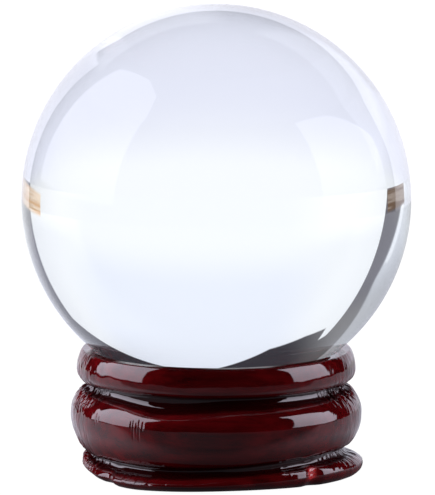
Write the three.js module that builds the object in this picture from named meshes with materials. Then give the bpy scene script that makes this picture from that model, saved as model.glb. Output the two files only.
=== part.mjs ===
// A solid glass ball resting in the dish of a turned wooden stand.
// Millimetres, +Z up, origin at the centre of the stand's base, front towards -Y.

import * as THREE from 'three';

// Ball
const BALL_RADIUS = 20;

// Dish that the ball rests in
const SEAT_DEPTH = 4.5; // from the rim down to the bottom of the ball
const SEAT_GAP = 0.3; // between the ball and the dish

// Stand, heights of its three tiers from the table up
const FOOT_HEIGHT = 2.5;
const BELLY_HEIGHT = 6.9;
const COLLAR_HEIGHT = 3.4;

// Stand, radial sizes
const RIM_WIDTH = 0.67; // flat top of the collar, outside the dish
const NECK_DEPTH = 0.85; // how far the two grooves cut in behind the rim's outer edge
const COLLAR_SWELL = 1.4; // how far each tier stands out from the grooves
const BELLY_SWELL = 2.02;
const FOOT_SWELL = 1.5;

// Hand-carved foot
const LOBES = 3; // the first of them points towards +X
const LOBE_SWELL = 0.67; // how far a lobe stands out, and the hollows between them go in
const NOTCH_AZIMUTHS = [85, 220, 310]; // degrees from +X, uneven as carved
const NOTCH_HALF_ANGLE = 10; // degrees
const NOTCH_DEPTH = 0.6;

// Facets
const ROUND_STEPS = 72;
const BALL_STEPS = 48;
const DISH_STEPS = 8;
const TIER_STEPS = 10;

// Angles on a tier's swelling, in radians
const LOWEST = -Math.PI / 2;
const HIGHEST = Math.PI / 2;
const SOLE_ANGLE = -Math.PI / 3; // where the foot's round edge meets its flat sole

// Worked out from the sizes above
const STAND_HEIGHT = FOOT_HEIGHT + BELLY_HEIGHT + COLLAR_HEIGHT;
const BALL_CENTRE = STAND_HEIGHT - SEAT_DEPTH + BALL_RADIUS;
const DISH_RADIUS = BALL_RADIUS + SEAT_GAP;
const MOUTH_ANGLE = Math.acos((BALL_RADIUS - SEAT_DEPTH) / DISH_RADIUS);
const MOUTH_RADIUS = DISH_RADIUS * Math.sin(MOUTH_ANGLE);
const RIM_RADIUS = MOUTH_RADIUS + RIM_WIDTH;
const NECK_RADIUS = RIM_RADIUS - NECK_DEPTH;

// Points of an upright elliptical swelling on the neck, from one angle to another, in radians.
// Angle LOWEST is its foot on the neck, 0 its widest and HIGHEST its top on the neck.
function tier(bottom, height, swell, fromAngle, toAngle) {
	const points = [];
	for (let i = 0; i <= TIER_STEPS; i++) {
		const angle = THREE.MathUtils.lerp(fromAngle, toAngle, i / TIER_STEPS);
		points.push(
			new THREE.Vector2(
				NECK_RADIUS + swell * Math.cos(angle),
				bottom + (height / 2) * (1 + Math.sin(angle)),
			),
		);
	}
	return points;
}

// The dish is part of a sphere around the ball's centre, from its mouth down to the axis.
function dish() {
	const points = [];
	for (let i = DISH_STEPS; i >= 0; i--) {
		const angle = (MOUTH_ANGLE * i) / DISH_STEPS;
		points.push(
			new THREE.Vector2(
				DISH_RADIUS * Math.sin(angle),
				BALL_CENTRE - DISH_RADIUS * Math.cos(angle),
			),
		);
	}
	return points;
}

// Half the section through the stand, from the middle of its base round to the middle of the dish.
function standProfile() {
	const bellyTop = FOOT_HEIGHT + BELLY_HEIGHT;
	// The rim cuts the collar's ellipse off, so the whole ellipse is higher than the collar.
	const cutAngle = Math.acos(NECK_DEPTH / COLLAR_SWELL);
	const collarEllipse = (2 * COLLAR_HEIGHT) / (1 + Math.sin(cutAngle));
	const soleRadius = NECK_RADIUS + FOOT_SWELL * Math.cos(SOLE_ANGLE);
	return [
		new THREE.Vector2(0, 0),
		new THREE.Vector2(soleRadius, 0),
		...tier(0, FOOT_HEIGHT, FOOT_SWELL, SOLE_ANGLE, HIGHEST),
		...tier(FOOT_HEIGHT, BELLY_HEIGHT, BELLY_SWELL, LOWEST, HIGHEST).slice(1),
		...tier(bellyTop, collarEllipse, COLLAR_SWELL, LOWEST, cutAngle).slice(1),
		...dish(),
	];
}

// How far the carved foot stands out at an azimuth in degrees: round lobes, less a V at each notch.
function footSwell(azimuth) {
	let swell = LOBE_SWELL * Math.cos(THREE.MathUtils.degToRad(LOBES * azimuth));
	for (const notch of NOTCH_AZIMUTHS) {
		const turned = THREE.MathUtils.euclideanModulo(azimuth - notch + 180, 360) - 180;
		swell -= NOTCH_DEPTH * Math.max(0, 1 - Math.abs(turned) / NOTCH_HALF_ANGLE);
	}
	return swell;
}

// Gives the foot its lobes and notches, less and less towards the groove above it.
function carveFoot(geometry) {
	const points = geometry.attributes.position;
	for (let i = 0; i < points.count; i++) {
		const radius = Math.hypot(points.getX(i), points.getY(i));
		const height = points.getZ(i);
		if (height >= FOOT_HEIGHT || radius < NECK_RADIUS / 2) {
			continue;
		}
		const share = Math.min(1, (2 * (FOOT_HEIGHT - height)) / FOOT_HEIGHT);
		const azimuth = THREE.MathUtils.radToDeg(Math.atan2(points.getY(i), points.getX(i)));
		const scale = 1 + (share * footSwell(azimuth)) / radius;
		points.setX(i, points.getX(i) * scale);
		points.setY(i, points.getY(i) * scale);
	}
	return geometry;
}

function makeStand() {
	const geometry = new THREE.LatheGeometry(standProfile(), ROUND_STEPS);
	geometry.rotateX(Math.PI / 2);
	const material = new THREE.MeshStandardMaterial({
		color: 0x4a0a0a,
		roughness: 0.15,
		metalness: 0,
	});
	const stand = new THREE.Mesh(carveFoot(geometry), material);
	stand.name = 'wooden_stand';
	return stand;
}

function makeBall() {
	const geometry = new THREE.SphereGeometry(BALL_RADIUS, BALL_STEPS, BALL_STEPS / 2);
	geometry.rotateX(Math.PI / 2);
	const material = new THREE.MeshStandardMaterial({
		color: 0xf4f7fc,
		roughness: 0.02,
		metalness: 0,
		transparent: true,
		opacity: 0.35,
	});
	const ball = new THREE.Mesh(geometry, material);
	ball.name = 'glass_ball';
	ball.position.z = BALL_CENTRE;
	return ball;
}

const group = new THREE.Group();
group.add(makeStand(), makeBall());

export default group;
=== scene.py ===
"""A solid glass ball and the turned, carved and lacquered wooden stand that it rests in.

Laid out as an add-on and run as a script. Lengths are metres, +Z is up and the front faces -Y,
as in the frame.
"""

import math

import bpy
import numpy as np
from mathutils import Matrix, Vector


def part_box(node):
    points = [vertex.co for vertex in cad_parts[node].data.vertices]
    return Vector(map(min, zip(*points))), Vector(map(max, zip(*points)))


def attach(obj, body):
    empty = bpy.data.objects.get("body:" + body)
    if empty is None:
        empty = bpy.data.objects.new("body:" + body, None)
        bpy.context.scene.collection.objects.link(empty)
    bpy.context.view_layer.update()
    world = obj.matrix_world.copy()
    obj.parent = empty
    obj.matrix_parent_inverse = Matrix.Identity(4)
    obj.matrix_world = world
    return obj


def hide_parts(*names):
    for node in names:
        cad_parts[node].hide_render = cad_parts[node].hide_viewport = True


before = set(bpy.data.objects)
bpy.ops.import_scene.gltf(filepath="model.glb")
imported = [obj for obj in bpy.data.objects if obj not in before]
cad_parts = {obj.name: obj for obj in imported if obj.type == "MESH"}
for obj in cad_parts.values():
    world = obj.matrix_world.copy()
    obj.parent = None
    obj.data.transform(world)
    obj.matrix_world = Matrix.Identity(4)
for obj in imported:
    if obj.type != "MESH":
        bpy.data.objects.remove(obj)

bl_info = {
    "name": "Crystal Ball on Wooden Stand",
    "version": (1, 0, 0),
    "blender": (4, 5, 0),
    "location": "View3D > Sidebar > Crystal Ball",
    "description": "Glass ball resting in a turned and lacquered wooden stand",
    "category": "Add Mesh",
}

MM = 0.001
TURN = 2 * math.pi
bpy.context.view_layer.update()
BALL_LOW, BALL_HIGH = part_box("glass_ball")
STAND_LOW, STAND_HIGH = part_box("wooden_stand")
BALL_RADIUS = (BALL_HIGH.z - BALL_LOW.z) / 2
BALL_CENTRE = (BALL_HIGH.z + BALL_LOW.z) / 2
STAND_HEIGHT = STAND_HIGH.z


# ---------------------------------------------------------------- settings


class BallSettings(bpy.types.PropertyGroup):
    """What a user would change on the ball."""

    radius: bpy.props.FloatProperty(
        name="Radius",
        description="Radius of the ball",
        default=BALL_RADIUS,
        unit="LENGTH",
        precision=4,
    )
    tint: bpy.props.FloatVectorProperty(
        name="Tint",
        description="Colour that the glass gives to what is seen through it",
        default=(0.985, 0.993, 1.0),
        size=3,
        min=0.0,
        max=1.0,
        subtype="COLOR",
    )
    waviness: bpy.props.FloatProperty(
        name="Waviness",
        description="Strength of the faint unevenness left by the polishing",
        default=0.006,
        min=0.0,
        max=1.0,
        subtype="FACTOR",
    )


class StandSettings(bpy.types.PropertyGroup):
    """What a user would change on the stand."""

    rim_width: bpy.props.FloatProperty(
        name="Rim width",
        description="Flat top of the collar between its outer edge and the dish",
        default=1.03 * MM,
        unit="LENGTH",
        precision=5,
    )
    foot_height: bpy.props.FloatProperty(
        name="Foot height",
        description="Height of the carved foot, up to the lower groove",
        default=2.5 * MM,
        unit="LENGTH",
        precision=5,
    )
    belly_height: bpy.props.FloatProperty(
        name="Belly height",
        description="Height of the round belly, from groove to groove",
        default=6.9 * MM,
        unit="LENGTH",
        precision=5,
    )
    collar_swell: bpy.props.FloatProperty(
        name="Collar swell",
        description="How far the collar stands out from the grooves",
        default=1.4 * MM,
        unit="LENGTH",
        precision=5,
    )
    belly_swell: bpy.props.FloatProperty(
        name="Belly swell",
        description="How far the belly stands out from the grooves",
        default=2.02 * MM,
        unit="LENGTH",
        precision=5,
    )
    foot_swell: bpy.props.FloatProperty(
        name="Foot swell",
        description="How far the foot stands out from the grooves",
        default=1.5 * MM,
        unit="LENGTH",
        precision=5,
    )
    torn_depth: bpy.props.FloatProperty(
        name="Torn grain",
        description="Height of the ridges torn out of the end grain by the tools",
        default=0.25 * MM,
        unit="LENGTH",
        precision=5,
    )
    dark_stain: bpy.props.FloatVectorProperty(
        name="Dark stain",
        description="Stain where the wood took up most of it",
        default=(0.02, 0.0006, 0.001),
        size=3,
        min=0.0,
        max=1.0,
        subtype="COLOR",
    )
    bright_stain: bpy.props.FloatVectorProperty(
        name="Bright stain",
        description="Stain where the wood took up least of it",
        default=(0.13, 0.0025, 0.004),
        size=3,
        min=0.0,
        max=1.0,
        subtype="COLOR",
    )


class StudioSettings(bpy.types.PropertyGroup):
    """What a user would change on the table, the lights and the camera."""

    elevation: bpy.props.FloatProperty(
        name="Camera elevation",
        description="How far the camera looks down on the ball",
        default=math.radians(8.5),
        subtype="ANGLE",
    )
    distance: bpy.props.FloatProperty(
        name="Camera distance",
        description="From the camera to the ball",
        default=0.8,
        unit="LENGTH",
    )
    side_light: bpy.props.FloatProperty(
        name="Side lights",
        description="Brightness of the two soft boxes beside the object",
        default=6.2,
        min=0.0,
    )


# ---------------------------------------------------------------- shared maths


def smooth_step(low, high, value):
    """0 below low, 1 above high, and a smooth S between them: t * t * (3 - 2 t)."""
    t = np.clip((value - low) / (high - low), 0.0, 1.0)
    return t * t * (3.0 - 2.0 * t)


def lattice(i, j, seed):
    """A fixed scatter of numbers from -1 to 1, one for each whole-number pair and seed."""
    mixed = (i * 374761393 + j * 668265263 + seed * 974634777) & 0xFFFFFFFF
    mixed = ((mixed ^ (mixed >> 13)) * 1274126177) & 0xFFFFFFFF
    return ((mixed ^ (mixed >> 16)) & 0xFFFF) / 32767.5 - 1.0


def noise(u, v, period, seed):
    """Smooth noise from -1 to 1: lattice values blended with an S curve both ways.
    It repeats after period cells in u, so that it closes round the stand."""
    i, j = np.floor(u).astype(np.int64), np.floor(v).astype(np.int64)
    s, t = smooth_step(0, 1, u - i), smooth_step(0, 1, v - j)
    left, right = i % period, (i + 1) % period
    low = lattice(left, j, seed) * (1 - s) + lattice(right, j, seed) * s
    high = lattice(left, j + 1, seed) * (1 - s) + lattice(right, j + 1, seed) * s
    return low * (1 - t) + high * t


def between(value, start, full, fading, gone):
    """1 from full to fading, 0 below start and above gone, and smooth steps in between."""
    return smooth_step(start, full, value) * (1.0 - smooth_step(fading, gone, value))


def bump_at(angle, centre, half_width):
    """A smooth hump round one angle: 1 at the centre and 0 from half_width on, all in radians."""
    off = np.abs((angle - centre + math.pi) % TURN - math.pi)
    return 1.0 - smooth_step(0.0, half_width, off)


def new_piece(name, points, faces):
    """A smooth-shaded mesh object at the origin, from an array of points and a list of faces."""
    mesh = bpy.data.meshes.new(name)
    mesh.from_pydata(points, [], faces)
    mesh.validate()
    mesh.polygons.foreach_set("use_smooth", np.ones(len(mesh.polygons), bool))
    piece = bpy.data.objects.new(name, mesh)
    bpy.context.scene.collection.objects.link(piece)
    return piece


def closed_lathe(grid):
    """Faces of a closed turned body. grid is rows x columns x 3, rows from the lower pole up.
    The first and last rows are single points. Quads join the rows, triangles close the poles."""
    rows, columns = grid.shape[0] - 2, grid.shape[1]
    points = np.concatenate([grid[:1, 0], grid[1:-1].reshape(-1, 3), grid[-1:, 0]])
    here = np.arange(columns)
    after = (here + 1) % columns
    row = (np.arange(rows - 1) * columns + 1)[:, None]
    quads = np.stack(
        [row + here, row + after, row + columns + after, row + columns + here], axis=-1
    ).reshape(-1, 4)
    last = 1 + (rows - 1) * columns
    lower = np.stack([np.zeros_like(here), after + 1, here + 1], axis=-1)
    upper = np.stack([np.full_like(here, len(points) - 1), last + here, last + after], axis=-1)
    return points, quads.tolist() + lower.tolist() + upper.tolist()


# ---------------------------------------------------------------- shared nodes


def add_node(tree, kind, sockets=None, **settings):
    """A node with its settings, and its sockets set to values or linked to other sockets."""
    made = tree.nodes.new(kind)
    for name, value in settings.items():
        setattr(made, name, value)
    for name, value in (sockets or {}).items():
        if isinstance(value, bpy.types.NodeSocket):
            tree.links.new(value, made.inputs[name])
        else:
            made.inputs[name].default_value = value
    return made


def math_node(tree, operation, first, second=0.0, third=0.0):
    """The output of one Math node."""
    sockets = {0: first, 1: second, 2: third}
    return add_node(tree, "ShaderNodeMath", sockets, operation=operation).outputs[0]


def product(tree, first, *others):
    """All of the values multiplied."""
    for other in others:
        first = math_node(tree, "MULTIPLY", first, other)
    return first


def ramp_node(tree, value, low, high, out_low=0.0, out_high=1.0):
    """The output of a smooth Map Range node."""
    sockets = {
        "Value": value,
        "From Min": low,
        "From Max": high,
        "To Min": out_low,
        "To Max": out_high,
    }
    made = add_node(tree, "ShaderNodeMapRange", sockets, interpolation_type="SMOOTHSTEP")
    return made.outputs[0]


def mix_colours(tree, factor, first, second):
    """The colour output of a Mix node."""
    made = add_node(tree, "ShaderNodeMix", data_type="RGBA")
    for index, value in ((0, factor), (6, first), (7, second)):
        if isinstance(value, bpy.types.NodeSocket):
            tree.links.new(value, made.inputs[index])
        else:
            made.inputs[index].default_value = value
    return made.outputs[2]


def new_material(name):
    """An empty node material and its tree."""
    material = bpy.data.materials.new(name)
    material.use_nodes = True
    material.node_tree.nodes.clear()
    return material, material.node_tree


def opaque(values):
    """A colour's three channels and a full fourth one."""
    return (*values, 1.0)


def scaled(values, factor):
    """A colour's three channels, each times factor."""
    return tuple(factor * value for value in values)


# ---------------------------------------------------------------- materials


def clear_glass(settings):
    """Polished solid glass: perfectly clear, and very slightly uneven from the polishing."""
    material, tree = new_material("clear_glass")
    where = add_node(tree, "ShaderNodeTexCoord").outputs["Object"]
    waves = add_node(
        tree, "ShaderNodeTexNoise", {"Vector": where, "Scale": 110.0, "Detail": 2.0}
    ).outputs["Fac"]
    normal = add_node(
        tree,
        "ShaderNodeBump",
        {"Height": waves, "Strength": settings.waviness, "Distance": 0.2 * MM},
    ).outputs[0]
    shader = add_node(
        tree,
        "ShaderNodeBsdfPrincipled",
        {
            "Base Color": opaque(settings.tint),
            "Roughness": 0.0,
            "IOR": 1.52,
            "Transmission Weight": 1.0,
            "Normal": normal,
        },
    )
    add_node(tree, "ShaderNodeOutputMaterial", {"Surface": shader.outputs[0]})
    return material


GRAIN_TURN = math.radians(18)  # the fibres lie across the stand, turned this far from the X axis
LIT_FACET_RED = (0.5, 0.03, 0.03, 1)  # painted highlight: the bare red of a carved facet lit by the right-hand light


def lacquered_wood(settings):
    """Cherry red stained wood under a thick clear gloss.
    The fibres lie level, so their streaks run along the front and show end on at both sides.
    The relief attribute paints light and shade into the colour: painted highlights on ridges,
    painted shade in hollows and both grooves and, from 1.4 up, the painted highlight of a lit
    facet."""
    material, tree = new_material("lacquered_wood")
    where = add_node(tree, "ShaderNodeTexCoord").outputs["Object"]
    along = add_node(
        tree,
        "ShaderNodeMapping",
        {"Vector": where, "Rotation": (0, 0, -GRAIN_TURN), "Scale": (60, 900, 900)},
    ).outputs[0]
    streaks = add_node(
        tree,
        "ShaderNodeTexNoise",
        {"Vector": along, "Scale": 1.0, "Detail": 5.0, "Roughness": 0.6},
    ).outputs["Fac"]
    clouds = add_node(
        tree, "ShaderNodeTexNoise", {"Vector": where, "Scale": 170.0, "Detail": 3.0}
    ).outputs["Fac"]
    # the relief attribute is painted light and shade: lighter on ridges and the lit facet, darker
    # in hollows and grooves
    relief = add_node(tree, "ShaderNodeAttribute", attribute_name="relief").outputs["Fac"]
    cloudy = product(tree, clouds, 0.3)
    figure = math_node(tree, "MULTIPLY_ADD", streaks, 0.7, cloudy)
    bright = ramp_node(tree, figure, 0.25, 0.75)
    # the stain colour plus painted light: the relief pushes ridges towards the bright stain and
    # hollows towards the dark
    lit = math_node(tree, "ADD", bright, relief)
    stain = mix_colours(
        tree,
        add_node(tree, "ShaderNodeClamp", {"Value": lit}).outputs[0],
        opaque(settings.dark_stain),
        opaque(settings.bright_stain),
    )
    # painted highlight: from 1.4 up the colour goes over to the bare red of the lit facet
    stain = mix_colours(tree, ramp_node(tree, lit, 1.4, 2.2), stain, LIT_FACET_RED)
    fine = add_node(
        tree,
        "ShaderNodeTexNoise",
        {"Vector": along, "Scale": 3.0, "Detail": 4.0},
    ).outputs["Fac"]
    normal = add_node(
        tree,
        "ShaderNodeBump",
        {"Height": fine, "Strength": 0.25, "Distance": 0.05 * MM},
    ).outputs[0]
    shader = add_node(
        tree,
        "ShaderNodeBsdfPrincipled",
        {
            "Base Color": stain,
            "Roughness": ramp_node(tree, clouds, 0.3, 0.7, 0.06, 0.14),
            "IOR": 1.5,
            "Specular IOR Level": 0.0,
            "Coat Weight": 1.0,
            "Coat Roughness": 0.03,
            "Coat IOR": 1.5,
            "Normal": normal,
        },
    )
    add_node(tree, "ShaderNodeOutputMaterial", {"Surface": shader.outputs[0]})
    return material


# ---------------------------------------------------------------- the ball

BALL_COLUMNS = 320
BALL_ROWS = 161


def ball_grid(radius, centre, columns, rows):
    """A sphere on a grid: height is minus the cosine and width the sine of the angle from its
    lower pole, carried once round the axis."""
    down = np.linspace(0, math.pi, rows)[:, None]
    turn = (np.arange(columns) * TURN / columns)[None, :]
    return np.stack(
        [
            radius * np.sin(down) * np.cos(turn),
            radius * np.sin(down) * np.sin(turn),
            centre - radius * np.cos(down) * np.ones_like(turn),
        ],
        axis=-1,
    )


class CRYSTAL_OT_ball(bpy.types.Operator):
    """Make the solid glass ball"""

    bl_idname = "crystal.ball"
    bl_label = "Glass Ball"

    def execute(self, context):
        settings = context.scene.crystal_ball
        grid = ball_grid(settings.radius, BALL_CENTRE, BALL_COLUMNS, BALL_ROWS)
        points, faces = closed_lathe(grid)
        ball = new_piece("ball", points, faces)
        ball.data.materials.append(clear_glass(settings))
        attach(ball, "ball")
        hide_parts("glass_ball")
        return {"FINISHED"}


# ---------------------------------------------------------------- the stand

STAND_COLUMNS = 715
CLOSE_COLUMNS = (  # azimuth and half width of the places where the columns are closer together
    (math.radians(222), math.radians(60)),
    (math.radians(335), math.radians(52)),
)
INNER_ROWS = 18  # rows of the section inwards from the end of the rim's outer rounding
SEAT_PLAY = 0.06 * MM  # between the ball and the dish
SOLE_ANGLE = math.pi / 3  # below the foot's widest place, where its roll meets the sole
SHOULDER = math.radians(72)  # where a tier's ellipse goes over into the groove above it
FOOT_ROLL = 0.43  # half the height of the foot's roll, as a share of the foot
BELLY_WIDEST = 0.55  # where the belly is widest, as a share of its height
COLLAR_WIDEST = 1.35 * MM  # where the collar is widest, above the belly
OUTER_ROUNDING = 0.12 * MM  # of the rim's two edges
INNER_ROUNDING = 0.1 * MM
GROOVE_RISE = 0.2 * MM  # a groove's upper edge above its nominal height
GROOVE_DROP = 0.6 * MM  # a groove's lower edge below it
GROOVE_UNDERCUT = 0.03 * MM  # how far a groove goes in under the tier above it
LOWER_BEND = 0.66 * MM  # height over which a groove's floor bends up into its wall
UPPER_BEND = 0.88 * MM
UPPER_DIP = 0.48 * MM  # how far the upper groove dips at the front left
LOBES = 3
LOBE_SWELL = 0.67 * MM
NOTCHES = (math.radians(85), math.radians(220), math.radians(316))
NOTCH_HALF_ANGLE = math.radians(6)
NOTCH_DEPTH = 0.42 * MM
SOLE_LIFTS = (  # azimuth, half width and height of places where the sole is off the table
    (math.radians(197), math.radians(40), 0.5 * MM),
    (math.radians(268), math.radians(60), 0.26 * MM),
)
TORN_ENDS = (  # azimuth and half width of the places where the fibres are cut end on
    (math.radians(186), math.radians(38)),
    (math.radians(352), math.radians(42)),
)
SCRATCHES = (  # azimuth, lowest and highest place of the upright tool marks in the belly
    (math.radians(234.3), 6.0 * MM, 7.4 * MM),
    (math.radians(235.4), 5.4 * MM, 7.5 * MM),
    (math.radians(236.9), 5.8 * MM, 7.2 * MM),
    (math.radians(238.1), 5.3 * MM, 7.6 * MM),
    (math.radians(239.9), 6.1 * MM, 7.3 * MM),
    (math.radians(214.2), 6.1 * MM, 7.5 * MM),
    (math.radians(216.0), 6.4 * MM, 7.3 * MM),
)
BEADS = (  # azimuth, half width and height of the places with small drops of lacquer
    (math.radians(236), math.radians(26), 1.25 * MM),
    (math.radians(299), math.radians(8), 2.15 * MM),
)


def tier(neck, swell, widest, below, above, low, high, count):
    """Rows of a tier: a half ellipse on the neck, r = neck + swell cos a and
    z = widest + h sin a, where h is its height below or above the widest place."""
    angle = np.linspace(low, high, count)
    height = np.where(angle < 0, below, above)
    return np.stack([neck + swell * np.cos(angle), widest + height * np.sin(angle)], axis=-1)


def curve(start, control, end, count):
    """Rows of a quadratic curve: (1 - t)^2 start + 2 t (1 - t) control + t^2 end."""
    t = np.linspace(0, 1, count)[:, None]
    return (1 - t) ** 2 * start + 2 * t * (1 - t) * control + t**2 * end


def fillet(corner, before, after, radius, count):
    """Rows that round a corner off between the points radius away on both sides."""
    start = corner + (before - corner) / np.linalg.norm(before - corner) * radius
    end = corner + (after - corner) / np.linalg.norm(after - corner) * radius
    return curve(start, corner, end, count)


def groove(shoulder, neck, bend, count):
    """Rows of a hollow between a tier's shoulder and the neck above it: a quadratic curve from
    the shoulder to the deepest radius at a height of bend, with its control point at that radius
    and 0.15 of the height, and then a straight wall up to the neck."""
    deepest = neck[0] - GROOVE_UNDERCUT
    foot = np.array([deepest, shoulder[1] + bend])
    control = np.array([deepest, shoulder[1] + 0.15 * bend])
    return np.concatenate([curve(shoulder, control, foot, count), np.linspace(foot, neck, 4)[1:]])


def groove_heights(settings):
    """Nominal heights of the two grooves."""
    return settings.foot_height, settings.foot_height + settings.belly_height


def stand_profile(settings, ball_radius):
    """Half the section: sole, foot, belly, collar, rim and dish, as rows of radius and height."""
    dish_radius = ball_radius + SEAT_PLAY
    mouth_angle = math.acos((BALL_CENTRE - STAND_HEIGHT) / dish_radius)
    mouth = np.array([dish_radius * math.sin(mouth_angle), STAND_HEIGHT])
    rim = mouth + [settings.rim_width, 0]
    neck = (STAND_HIGH.y - STAND_LOW.y) / 2 - settings.belly_swell
    lower, upper = groove_heights(settings)
    half = FOOT_ROLL * lower
    widest = half * math.sin(SOLE_ANGLE)
    foot = tier(neck, settings.foot_swell, widest, half, half, -SOLE_ANGLE, SHOULDER, 22)
    widest = lower + BELLY_WIDEST * settings.belly_height
    below = widest - lower - GROOVE_RISE
    above = upper - widest - GROOVE_DROP
    belly = tier(neck, settings.belly_swell, widest, below, above, -math.pi / 2, SHOULDER, 40)
    cut = math.acos((rim[0] - neck) / settings.collar_swell)
    widest = upper + COLLAR_WIDEST
    below = COLLAR_WIDEST - GROOVE_RISE
    above = (STAND_HEIGHT - widest) / math.sin(cut)
    collar = tier(neck, settings.collar_swell, widest, below, above, -math.pi / 2, cut, 24)
    sole = np.linspace([0, 0], foot[0] * [1, 0] - [0.1 * MM, 0], 6)
    dish_angle = np.linspace(mouth_angle, 0, 14)
    dish = np.stack(
        [dish_radius * np.sin(dish_angle), BALL_CENTRE - dish_radius * np.cos(dish_angle)], axis=-1
    )
    return np.concatenate(
        [
            sole,
            foot,
            groove(foot[-1], belly[0], LOWER_BEND, 12)[1:-1],
            belly,
            groove(belly[-1], collar[0], UPPER_BEND, 14)[1:-1],
            collar[:-1],
            fillet(collar[-1], collar[-2], mouth, OUTER_ROUNDING, 5),
            fillet(mouth, rim, dish[1], INNER_ROUNDING, 4),
            dish[1:],
        ]
    )


def stand_azimuths(count):
    """Azimuths once round, with up to 3.6 times as many to a degree in some places: the inverse
    of the running total of their density."""
    even = np.linspace(0, TURN, 4001)
    density = 0.5 + 1.3 * sum(bump_at(even, *place) for place in CLOSE_COLUMNS)
    spread = np.concatenate([[0], np.cumsum((density[1:] + density[:-1]) / 2)])
    return np.interp(np.arange(count) / count, spread / spread[-1], even)


def end_grain(azimuth):
    """How much the fibres are cut end on: 1 near both ends of them and 0 at the front and back."""
    return sum(bump_at(azimuth, *place) for place in TORN_ENDS)


def left_end(azimuth):
    """1 at the left end of the fibres, where the wood is roughest, and 0 from 60 degrees on."""
    return bump_at(azimuth, TORN_ENDS[0][0], math.radians(60))


def round_noise(azimuth, height, cells, cell_height, seed, lean=0):
    """Noise on the stand's outside: so many cells in a turn, each so high, and so many cells up
    in a turn where it leans."""
    turn = azimuth / TURN
    return noise(turn * cells, height / cell_height + turn * lean, cells, seed)


def groove_wave(azimuth, height, settings):
    """How far the surface shifts up, because the grooves were cut by eye. The lower one goes
    twice up and down in a turn, which fades to nothing at the sole and in the belly. The upper
    one dips at the front left, and what lies close above and below it moves down with it."""
    lower, upper = groove_heights(settings)
    share = np.minimum(height / lower, np.clip((2.4 * lower - height) / (1.4 * lower), 0, None))
    wave = -0.15 * MM + 0.42 * MM * np.cos(2 * (azimuth - math.radians(330)))
    band = between(height - upper, -2.2 * MM, -0.75 * MM, -0.2 * MM, 0.33 * MM)
    dip = bump_at(azimuth, math.radians(248), math.radians(33))
    return share * wave - UPPER_DIP * band * dip


def foot_carving(azimuth, height, settings):
    """How far the foot stands out sideways: three round lobes, less a V at each notch."""
    share = np.clip(2 * (1 - height / settings.foot_height), 0, 1)
    swell = LOBE_SWELL * np.cos(LOBES * azimuth)
    for notch in NOTCHES:
        swell = swell - NOTCH_DEPTH * bump_at(azimuth, notch, NOTCH_HALF_ANGLE)
    return share * swell


def torn_grain(azimuth, height, settings):
    """Ridges torn out of the end grain beside the grooves: sharp upright crests, from noise
    folded at zero, in a band round each groove."""
    lower, upper = groove_heights(settings)
    left = left_end(azimuth)
    near = np.exp(-(((height - upper + 0.3 * MM) / (0.85 * MM)) ** 2))
    below = np.exp(-(((height - lower + 0.1 * MM) / (0.9 * MM)) ** 2))
    near = near + below * (0.2 + 0.8 * left) + 0.05 + 0.08 * left
    crests = 1 - 2 * np.abs(round_noise(azimuth, height, 190, 1.1 * MM, 3, lean=130))
    fine = 1 - 2 * np.abs(round_noise(azimuth, height, 400, 0.6 * MM, 5, lean=-160))
    torn = smooth_step(0.1, 0.75, end_grain(azimuth))
    return settings.torn_depth * torn * near * (0.9 * crests + 0.5 * fine - 0.3)


def ripple(azimuth, height):
    """The lacquer's own unevenness: slow waves all over, and finer ones over end grain."""
    slow = round_noise(azimuth, height, 26, 2.6 * MM, 11)
    brushed = round_noise(azimuth, height, 70, 1.3 * MM, 17)
    fine = round_noise(azimuth, height, 150, 0.6 * MM, 13)
    rough = smooth_step(0.0, 0.5, end_grain(azimuth)) * (0.6 + 0.4 * left_end(azimuth))
    return MM * (0.02 * slow + 0.013 * brushed * (1 + rough) + 0.014 * fine * (0.3 + rough))


def beads(azimuth, height):
    """Small drops of lacquer on the foot's roll, at the front left and left of the right notch:
    noise that only counts where it is high, in a short band at each place."""
    drops = smooth_step(0.15, 0.7, round_noise(azimuth, height, 230, 0.45 * MM, 19))
    where = 0.0
    for centre, half_width, middle in BEADS:
        band = np.exp(-(((height - middle) / (0.6 * MM)) ** 2))
        where = where + band * np.minimum(1, 2 * bump_at(azimuth, centre, half_width))
    return 0.05 * MM * drops * where


def scratches(azimuth, height):
    """Upright tool marks: narrow furrows that fade at both ends."""
    depth = 0.0
    for centre, low, high in SCRATCHES:
        along = between(height, low, low + 0.5 * MM, high - 0.5 * MM, high)
        depth = depth + bump_at(azimuth, centre, math.radians(0.5)) * along
    return -0.06 * MM * depth


def sole_lift(azimuth, radius, height):
    """How far the carved sole is off the table, towards its edge and no higher than the foot."""
    lift = sum(high * bump_at(azimuth, centre, half) for centre, half, high in SOLE_LIFTS)
    low = 1 - smooth_step(0.3 * MM, 1.5 * MM, height)
    return lift * low * smooth_step(10.5 * MM, 13.4 * MM, radius)


def painted_groove_shade(height, settings):
    """Painted shade, 0 to 1: full in both grooves, gone on the tiers."""
    lower, upper = groove_heights(settings)
    groove_shade = 0.0
    # painted shade: the colour is darkened round each groove
    for groove_height in (lower - 0.05 * MM, upper - 0.2 * MM):
        groove_shade = groove_shade + 1.0 - smooth_step(0.35 * MM, 0.85 * MM, np.abs(height - groove_height))
    return groove_shade


def painted_lit_facet(azimuth, height):
    """Painted highlight, 0 to 1: the bare red of a facet lit by the right-hand light, half way up
    the right notch.
    """
    half_way_up = between(height, 0.4 * MM, 0.9 * MM, 1.6 * MM, 2.1 * MM)
    return bump_at(azimuth, NOTCHES[2], math.radians(5)) * half_way_up


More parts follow.
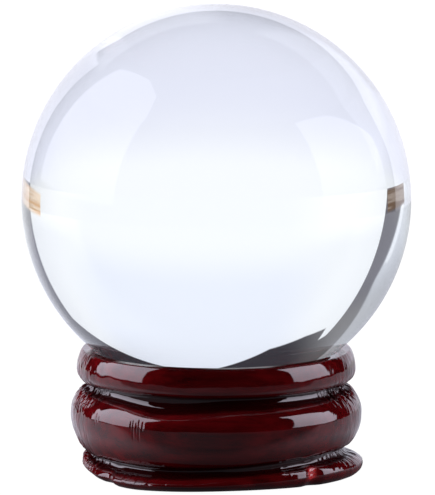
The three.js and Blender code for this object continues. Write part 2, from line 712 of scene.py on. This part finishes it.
def stand_surface(settings, ball_radius):
    """The stand on a grid of profile rows and azimuths, and the shade of each of its points.
    The grooves' wandering and the sole's lift move a point up, the foot's carving moves it out,
    and the torn grain, ripples, beads and scratches move it along the profile's normal. The
    shade is painted light: a painted highlight on ridges, painted shade in hollows and both
    grooves, and the brightest painted highlight on the lit facet."""
    profile = stand_profile(settings, ball_radius)
    azimuth = stand_azimuths(STAND_COLUMNS)[None, :]
    radius, height = profile[:, :1], profile[:, 1:]
    rows = np.arange(len(profile))[:, None]
    outside = (height > 0.02 * MM) & (rows < len(profile) - INNER_ROWS)
    relief = torn_grain(azimuth, height, settings) + ripple(azimuth, height)
    relief = (relief + beads(azimuth, height) + scratches(azimuth, height)) * outside
    slope = np.gradient(profile, axis=0)
    slope /= np.linalg.norm(slope, axis=1)[:, None]
    moved_up = groove_wave(azimuth, height, settings) * outside
    moved_up = moved_up + sole_lift(azimuth, radius, height) - relief * slope[:, :1]
    moved_out = foot_carving(azimuth, height, settings) * (radius > 4 * MM)
    moved_out = moved_out + relief * slope[:, 1:]
    x, y = (radius + moved_out) * np.cos(azimuth), (radius + moved_out) * np.sin(azimuth)
    # painted highlight on ridges and drops, painted shade in hollows, furrows and both grooves
    shade = relief * 0.6 / settings.torn_depth - painted_groove_shade(height, settings)
    return np.stack([x, y, height + moved_up], axis=-1), shade + 2 * painted_lit_facet(azimuth, height)


class CRYSTAL_OT_stand(bpy.types.Operator):
    """Make the turned and carved wooden stand"""

    bl_idname = "crystal.stand"
    bl_label = "Wooden Stand"

    def execute(self, context):
        settings = context.scene.crystal_stand
        grid, shade = stand_surface(settings, context.scene.crystal_ball.radius)
        points, faces = closed_lathe(grid)
        stand = new_piece("stand", points, faces)
        # the relief attribute carries the painted light and shade for the colour
        values = np.concatenate([shade[:1, 0], shade[1:-1].ravel(), shade[-1:, 0]])
        relief = stand.data.attributes.new("relief", "FLOAT", "POINT")
        relief.data.foreach_set("value", values.astype(np.float32))
        stand.data.materials.append(lacquered_wood(settings))
        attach(stand, "stand")
        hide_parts("wooden_stand")
        return {"FINISHED"}


# ---------------------------------------------------------------- the studio

TABLE_RADIUS = 0.2
TABLE_CORNERS = 96
SENSOR_HEIGHT = 36  # millimetres, as the camera takes it
VIEW_HEIGHT = 1.2705  # height of the view at the ball, in ball diameters
AIM_RIGHT = 0.12 * MM  # the view's middle, from the ball's centre
AIM_DOWN = 5.06 * MM


def direction(azimuth, elevation):
    """A unit vector, with azimuth from the back (+Y) towards +X, both in degrees."""
    a, e = math.radians(azimuth), math.radians(elevation)
    return np.array([math.sin(a) * math.cos(e), math.cos(a) * math.cos(e), math.sin(e)])


def panel_slopes(tree, towards, azimuth):
    """Slopes x and y at which a far upright panel, square to azimuth, is crossed in each
    direction, and whether it is ahead at all."""

    def along(axis):
        sockets = {0: towards, 1: tuple(axis)}
        made = add_node(tree, "ShaderNodeVectorMath", sockets, operation="DOT_PRODUCT")
        return made.outputs["Value"]

    ahead = along(direction(azimuth, 0))
    safe = math_node(tree, "MAXIMUM", ahead, 0.001)
    x = math_node(tree, "DIVIDE", along(direction(azimuth + 90, 0)), safe)
    y = math_node(tree, "DIVIDE", along((0, 0, 1)), safe)
    return x, y, math_node(tree, "GREATER_THAN", ahead, 0.001)


def panel_mask(tree, slopes, parts, softness):
    """How much of a panel is seen, 0 to 1. The panel is all of its parts together, and each edge
    (a, b, c) of a part keeps the side where a x + b y + c is above 0, fading over softness."""
    x, y, ahead = slopes
    whole = 0.0
    for edges in parts:
        seen = ahead
        for a, b, c in edges:
            side = math_node(tree, "MULTIPLY_ADD", x, a, math_node(tree, "MULTIPLY_ADD", y, b, c))
            seen = product(tree, seen, ramp_node(tree, side, -softness, softness))
        whole = math_node(tree, "MAXIMUM", seen, whole)
    return whole


def add_light(tree, total, tone, mask):
    """total + tone x mask, as a colour."""
    masked = add_node(tree, "ShaderNodeVectorMath", {0: tone, "Scale": mask}, operation="SCALE")
    sockets = {0: total, 1: masked.outputs[0]}
    return add_node(tree, "ShaderNodeVectorMath", sockets, operation="ADD").outputs[0]


def seen_through(tree, path):
    """1 for light that has passed through glass and has not been mirrored, and 0 for the rest."""
    passed = math_node(tree, "GREATER_THAN", path.outputs["Transmission Depth"], 0.5)
    straight = math_node(tree, "LESS_THAN", path.outputs["Glossy Depth"], 0.5)
    return product(tree, passed, straight)


# The panels that surround the object. Each is a tuple of parts and each part a tuple of edges,
# as panel_mask reads them, apart from the two boxes, which are one part each.
BACKDROP_AZIMUTH = 7
LEFT_BOX = (
    (1, 0, 0.51), (-1, 0, 0.82), (0, 1, 0.0), (0, -1, 1.78), (-0.81, -1, 1.9), (2.6, -1, 2.64)
)
RIGHT_BOX = ((1, 0, 0.6), (-1, 0, 0.44), (0, 1, 0.0), (0.53, -1, 0.8), (0.85, -1, 0.83))
BOXES = (  # azimuth, edges, and the edge that ends the box at the back as the stand sees it
    (-90, LEFT_BOX, (-1, 0, 0.49)),
    (90, RIGHT_BOX, (1, 0, 0.33)),
)
BACKDROP_SIDES = ((1, -0.575, 1.485), (-1, -0.485, 1.66), (0, 1, 0.3))
BACKDROP = (
    (*BACKDROP_SIDES, (0, -1, 0.97), (0.7, -1, 0.99)),
    (*BACKDROP_SIDES, (0, -1, 0.695)),
    (*BACKDROP_SIDES, (-0.22, -1, 0.547), (-1, 0, -0.65)),
    (*BACKDROP_SIDES, (0, -1, 0.9), (-1, 0, -0.88)),
)
BACKDROP_MIRRORED = (
    ((1, 0, 0.5), (-1, 0, 0.87), (0, 1, 0.3), (0, -1, 0.45), (-1, -1, 1.22)),
    ((1, 0, 0.87), (-1, 0, 0.0), (0, 1, 0.3), (-1.033, -1, -0.2)),
)
BACKDROP_LOW = (((1, 0, 1.0), (-1, 0, 0.73), (0, 1, 0.3), (0, -1, 0.45)),)
FILL = (
    ((1, 0, 1.66), (-1, 0, -0.13), (0, 1, 0.0), (0, -1, 1.0), (1.033, 1, 0.2)),
    ((1, 0, -0.2), (-1, 0, 1.7), (0, 1, -0.2), (0, -1, 1.2)),
)
SIDE_LIGHT = (((-1, 0.68, 0.21), (-1, 0, 0.45), (1, 0, 0.7), (0, 1, 0.14)),)
SIDE_LIGHT_RIM = (((-1, 0.68, 0.2), (1, -0.68, -0.12), (0, 1, 0.14), (0, -1, 0.25)),)
GREY_WALL = (((0, 1, 0.0), (1, 0, 0.45), (-1, 0, 0.4), (0, -1, 0.8)),)
PALE_LEDGE = (((1, 0, 0.7), (-1, 0, 0.03), (0, 1, 0.125), (0, -1, 0.0)),)
DARK_LEDGE = (((-1, 0, 0.44), (1, 0, -0.1), (0, 1, 0.14), (0, -1, -0.03)),)


def dark_room(tree, towards, up):
    """The room round the backdrop: dusk that deepens upwards, lighter at the far left, and pale
    on the camera's side."""
    place = add_node(tree, "ShaderNodeSeparateXYZ", {0: towards}).outputs
    dusk = ramp_node(tree, up, 0.25, 0.52, 1.0, 0.3)
    total = add_light(tree, (0.01, 0.008, 0.01), (0.12, 0.12, 0.15), dusk)
    far_left = ramp_node(tree, place["X"], -0.6, -0.3, 1.0, 0.0)
    gleam = product(tree, far_left, ramp_node(tree, up, 0.3, 0.5, 0.35, 1.0))
    total = add_light(tree, total, (0.17, 0.17, 0.165), gleam)
    in_front = ramp_node(tree, place["Y"], -0.25, -0.05, 1.0, 0.0)
    return mix_colours(tree, in_front, total, (0.8, 0.83, 0.92, 1))


def backdrop_tone(tree, x, up):
    """The lit backdrop: bluer high up than low down, and brightest low down at both sides."""
    low = ramp_node(tree, up, 0.0, 0.2, 1.0, 0.0)
    middle = mix_colours(tree, low, (0.925, 0.975, 1.09, 1), (1.04, 1.075, 1.1, 1))
    lowest = ramp_node(tree, up, -0.04, 0.08, 1.0, 0.0)
    side = mix_colours(tree, lowest, (1.01, 1.045, 1.09, 1), (1.13, 1.155, 1.19, 1))
    aside = ramp_node(tree, math_node(tree, "ABSOLUTE", x), 0.35, 0.75)
    return mix_colours(tree, aside, middle, side)


def ledge_streaks(tree, towards):
    """Level streaks, 0 to 1, from noise that is drawn out sideways."""
    sockets = {0: towards, 1: (3, 3, 60)}
    drawn_out = add_node(tree, "ShaderNodeVectorMath", sockets, operation="MULTIPLY").outputs[0]
    sockets = {"Vector": drawn_out, "Scale": 1.0, "Detail": 2.0}
    streaks = add_node(tree, "ShaderNodeTexNoise", sockets).outputs["Fac"]
    return ramp_node(tree, streaks, 0.35, 0.6)


def seen_through_glass(tree, towards, up):
    """The room as the ball turns it upside down: the dark room, over it the backdrop, a side
    light with a slanting edge and a bright rim, a grey wall, and two wooden ledges."""
    centre = panel_slopes(tree, towards, BACKDROP_AZIMUTH)
    left = panel_slopes(tree, towards, -75)
    right = panel_slopes(tree, towards, 90)
    total = mix_colours(
        tree,
        panel_mask(tree, centre, BACKDROP, 0.012),
        dark_room(tree, towards, up),
        backdrop_tone(tree, centre[0], up),
    )
    fade = ramp_node(tree, up, 0.0, 0.5, 0.8, 0.38)
    side_light = product(tree, fade, panel_mask(tree, left, SIDE_LIGHT, 0.03))
    total = add_light(tree, total, (0.93, 1.0, 1.08), side_light)
    rim = panel_mask(tree, left, SIDE_LIGHT_RIM, 0.02)
    total = add_light(tree, total, (0.25, 0.25, 0.25), rim)
    towards_front = ramp_node(tree, right[0], -0.45, 0.1, 0.1, 0.6)
    wall = product(tree, towards_front, panel_mask(tree, right, GREY_WALL, 0.01))
    total = add_light(tree, total, (0.97, 0.98, 1.03), wall)
    streaks = ledge_streaks(tree, towards)
    peach = mix_colours(tree, streaks, (0.95, 0.64, 0.4, 1), (1.15, 0.96, 0.78, 1))
    total = mix_colours(tree, panel_mask(tree, right, PALE_LEDGE, 0.012), total, peach)
    bark = mix_colours(tree, streaks, (0.2, 0.13, 0.09, 1), (0.42, 0.34, 0.29, 1))
    return mix_colours(tree, panel_mask(tree, left, DARK_LEDGE, 0.012), total, bark)


def seen_in_reflections(tree, towards, up, side_light):
    """The room as polished surfaces mirror it: two soft boxes, the backdrop and the dark. The
    ball, a perfect mirror, sees the boxes whole and also a soft fill above the backdrop. The
    stand sees them brighter and less far back, and only the backdrop's lower part."""
    path = add_node(tree, "ShaderNodeLightPath")
    in_ball = path.outputs["Is Singular Ray"]
    in_stand = math_node(tree, "SUBTRACT", 1.0, in_ball)
    ball_glow = product(tree, in_ball, ramp_node(tree, up, 0.0, 0.4, 0.45, 1.0))
    stand_glow = product(tree, in_stand, ramp_node(tree, up, 0.0, 0.5, 0.75, 1.0))
    ball_tone = scaled((0.21, 0.2145, 0.242), side_light)
    stand_tone = scaled((0.84, 0.8, 0.93), side_light)
    total = (0.006, 0.005, 0.005)
    for azimuth, box, back_edge in BOXES:
        slopes = panel_slopes(tree, towards, azimuth)
        whole = product(tree, ball_glow, panel_mask(tree, slopes, (box,), 0.02))
        total = add_light(tree, total, ball_tone, whole)
        part = product(tree, stand_glow, panel_mask(tree, slopes, ((*box, back_edge),), 0.02))
        total = add_light(tree, total, stand_tone, part)
    ahead = panel_slopes(tree, towards, BACKDROP_AZIMUTH)
    for seen_by, panel, softness, tone in (
        (in_ball, BACKDROP_MIRRORED, 0.02, (1.05, 1.05, 1.15)),
        (in_stand, BACKDROP_LOW, 0.03, (1.0, 1.0, 1.15)),
        (in_ball, FILL, 0.1, (0.62, 0.64, 0.68)),
    ):
        seen = product(tree, seen_by, panel_mask(tree, ahead, panel, softness))
        total = add_light(tree, total, tone, seen)
    return total


def studio_world(side_light):
    """What surrounds the table. The camera itself sees plain white. Light that has come through
    the ball and light that is mirrored meet the room from different places, so each of the two
    has its own view of it."""
    world = bpy.data.worlds.new("studio")
    world.use_nodes = True
    tree = world.node_tree
    tree.nodes.clear()
    towards = add_node(tree, "ShaderNodeTexCoord").outputs["Generated"]
    up = add_node(tree, "ShaderNodeSeparateXYZ", {0: towards}).outputs["Z"]
    path = add_node(tree, "ShaderNodeLightPath")
    through = seen_through(tree, path)
    room = mix_colours(
        tree,
        through,
        seen_in_reflections(tree, towards, up, side_light),
        seen_through_glass(tree, towards, up),
    )
    studio = add_node(tree, "ShaderNodeBackground", {"Color": room}).outputs[0]
    plain = add_node(tree, "ShaderNodeBackground", {"Color": (1.1, 1.1, 1.1, 1)}).outputs[0]
    both = add_node(
        tree, "ShaderNodeMixShader", {0: path.outputs["Is Camera Ray"], 1: studio, 2: plain}
    ).outputs[0]
    add_node(tree, "ShaderNodeOutputWorld", {"Surface": both})
    return world


def table_top():
    """Pale paper, brighter towards the back, where the light comes from, and shaded close to the
    stand. Through the ball it is brighter at both sides. Mirrored, it is dimmer in front and at
    the right. The camera sees it nearly white, with a trace of shadow."""
    material, tree = new_material("pale_table")
    where = add_node(tree, "ShaderNodeTexCoord").outputs["Object"]
    place = add_node(tree, "ShaderNodeSeparateXYZ", {0: where}).outputs
    far = ramp_node(tree, place["Y"], 0.06, 0.125)
    tone = mix_colours(tree, far, (0.87, 0.895, 1.03, 1), (1.04, 1.07, 1.12, 1))
    aside = ramp_node(tree, math_node(tree, "ABSOLUTE", place["X"]), 0.015, 0.08, 0.0, 0.12)
    near = math_node(tree, "SUBTRACT", 1.0, far)
    glow = math_node(tree, "MULTIPLY_ADD", aside, near, 1.0)
    in_front = ramp_node(tree, place["Y"], -0.0225, -0.011, 0.22, 1.0)
    dim = product(tree, in_front, ramp_node(tree, place["X"], -0.02, 0.02, 1.0, 0.66))
    path = add_node(tree, "ShaderNodeLightPath")
    sockets = {0: seen_through(tree, path), 2: dim, 3: glow}
    light = add_node(tree, "ShaderNodeMix", sockets).outputs[0]
    from_stand = add_node(tree, "ShaderNodeVectorMath", {0: where}, operation="LENGTH")
    shade = ramp_node(tree, from_stand.outputs["Value"], 0.0135, 0.025, 0.1, 1.0)
    sockets = {"Color": tone, "Strength": product(tree, light, shade)}
    paper = add_node(tree, "ShaderNodeEmission", sockets).outputs[0]
    sockets = {"Color": (1, 1, 1, 1), "Strength": 1.1}
    white = add_node(tree, "ShaderNodeEmission", sockets).outputs[0]
    matt = add_node(tree, "ShaderNodeBsdfDiffuse", {"Color": (0.8, 0.8, 0.82, 1)}).outputs[0]
    plain = add_node(tree, "ShaderNodeMixShader", {0: 0.9, 1: matt, 2: white}).outputs[0]
    camera = path.outputs["Is Camera Ray"]
    both = add_node(tree, "ShaderNodeMixShader", {0: camera, 1: paper, 2: plain}).outputs[0]
    add_node(tree, "ShaderNodeOutputMaterial", {"Surface": both})
    return material


class CRYSTAL_OT_stage(bpy.types.Operator):
    """Make the table, the light and the camera"""

    bl_idname = "crystal.stage"
    bl_label = "Table, Light and Camera"

    def execute(self, context):
        scene = context.scene
        settings = scene.crystal_studio
        scene.world = studio_world(settings.side_light)
        scene.view_settings.view_transform = "Standard"
        turn = np.arange(TABLE_CORNERS) * TURN / TABLE_CORNERS
        ring = TABLE_RADIUS * np.stack([np.cos(turn), np.sin(turn), 0 * turn], axis=-1)
        table = new_piece("table", ring, [list(range(TABLE_CORNERS))])
        table.data.materials.append(table_top())
        scene.camera = self.make_camera(settings)
        return {"FINISHED"}

    def make_camera(self, settings):
        """A long lens that looks down on the ball. The picture is higher than it is wide, so the
        sensor's size is its height."""
        lens_data = bpy.data.cameras.new("camera")
        camera = bpy.data.objects.new("camera", lens_data)
        bpy.context.scene.collection.objects.link(camera)
        lens_data.sensor_width = SENSOR_HEIGHT
        lens_data.lens = settings.distance * SENSOR_HEIGHT / (2 * BALL_RADIUS * VIEW_HEIGHT)
        lens_data.clip_end = 10
        aim = (AIM_RIGHT, 0, BALL_CENTRE - AIM_DOWN)
        back = (0, -math.cos(settings.elevation), math.sin(settings.elevation))
        camera.location = [a + settings.distance * b for a, b in zip(aim, back)]
        camera.rotation_euler = (math.pi / 2 - settings.elevation, 0, 0)
        return camera


# ---------------------------------------------------------------- the add-on


class CRYSTAL_PT_panel(bpy.types.Panel):
    """Sizes, colours and the operators that build the object"""

    bl_label = "Crystal Ball"
    bl_idname = "CRYSTAL_PT_panel"
    bl_space_type = "VIEW_3D"
    bl_region_type = "UI"
    bl_category = "Crystal Ball"

    def draw(self, context):
        for group, operator in (
            ("crystal_ball", "crystal.ball"),
            ("crystal_stand", "crystal.stand"),
            ("crystal_studio", "crystal.stage"),
        ):
            box = self.layout.box()
            settings = getattr(context.scene, group)
            for name in settings.bl_rna.properties.keys():
                if name not in ("rna_type", "name"):
                    box.prop(settings, name)
            box.operator(operator)


CLASSES = (
    BallSettings,
    StandSettings,
    StudioSettings,
    CRYSTAL_OT_ball,
    CRYSTAL_OT_stand,
    CRYSTAL_OT_stage,
    CRYSTAL_PT_panel,
)


def register():
    for each in CLASSES:
        bpy.utils.register_class(each)
    bpy.types.Scene.crystal_ball = bpy.props.PointerProperty(type=BallSettings)
    bpy.types.Scene.crystal_stand = bpy.props.PointerProperty(type=StandSettings)
    bpy.types.Scene.crystal_studio = bpy.props.PointerProperty(type=StudioSettings)


def unregister():
    del bpy.types.Scene.crystal_studio
    del bpy.types.Scene.crystal_stand
    del bpy.types.Scene.crystal_ball
    for each in reversed(CLASSES):
        bpy.utils.unregister_class(each)


def main():
    register()
    bpy.ops.crystal.stage()
    bpy.ops.crystal.ball()
    bpy.ops.crystal.stand()


if __name__ == "__main__":
    main()
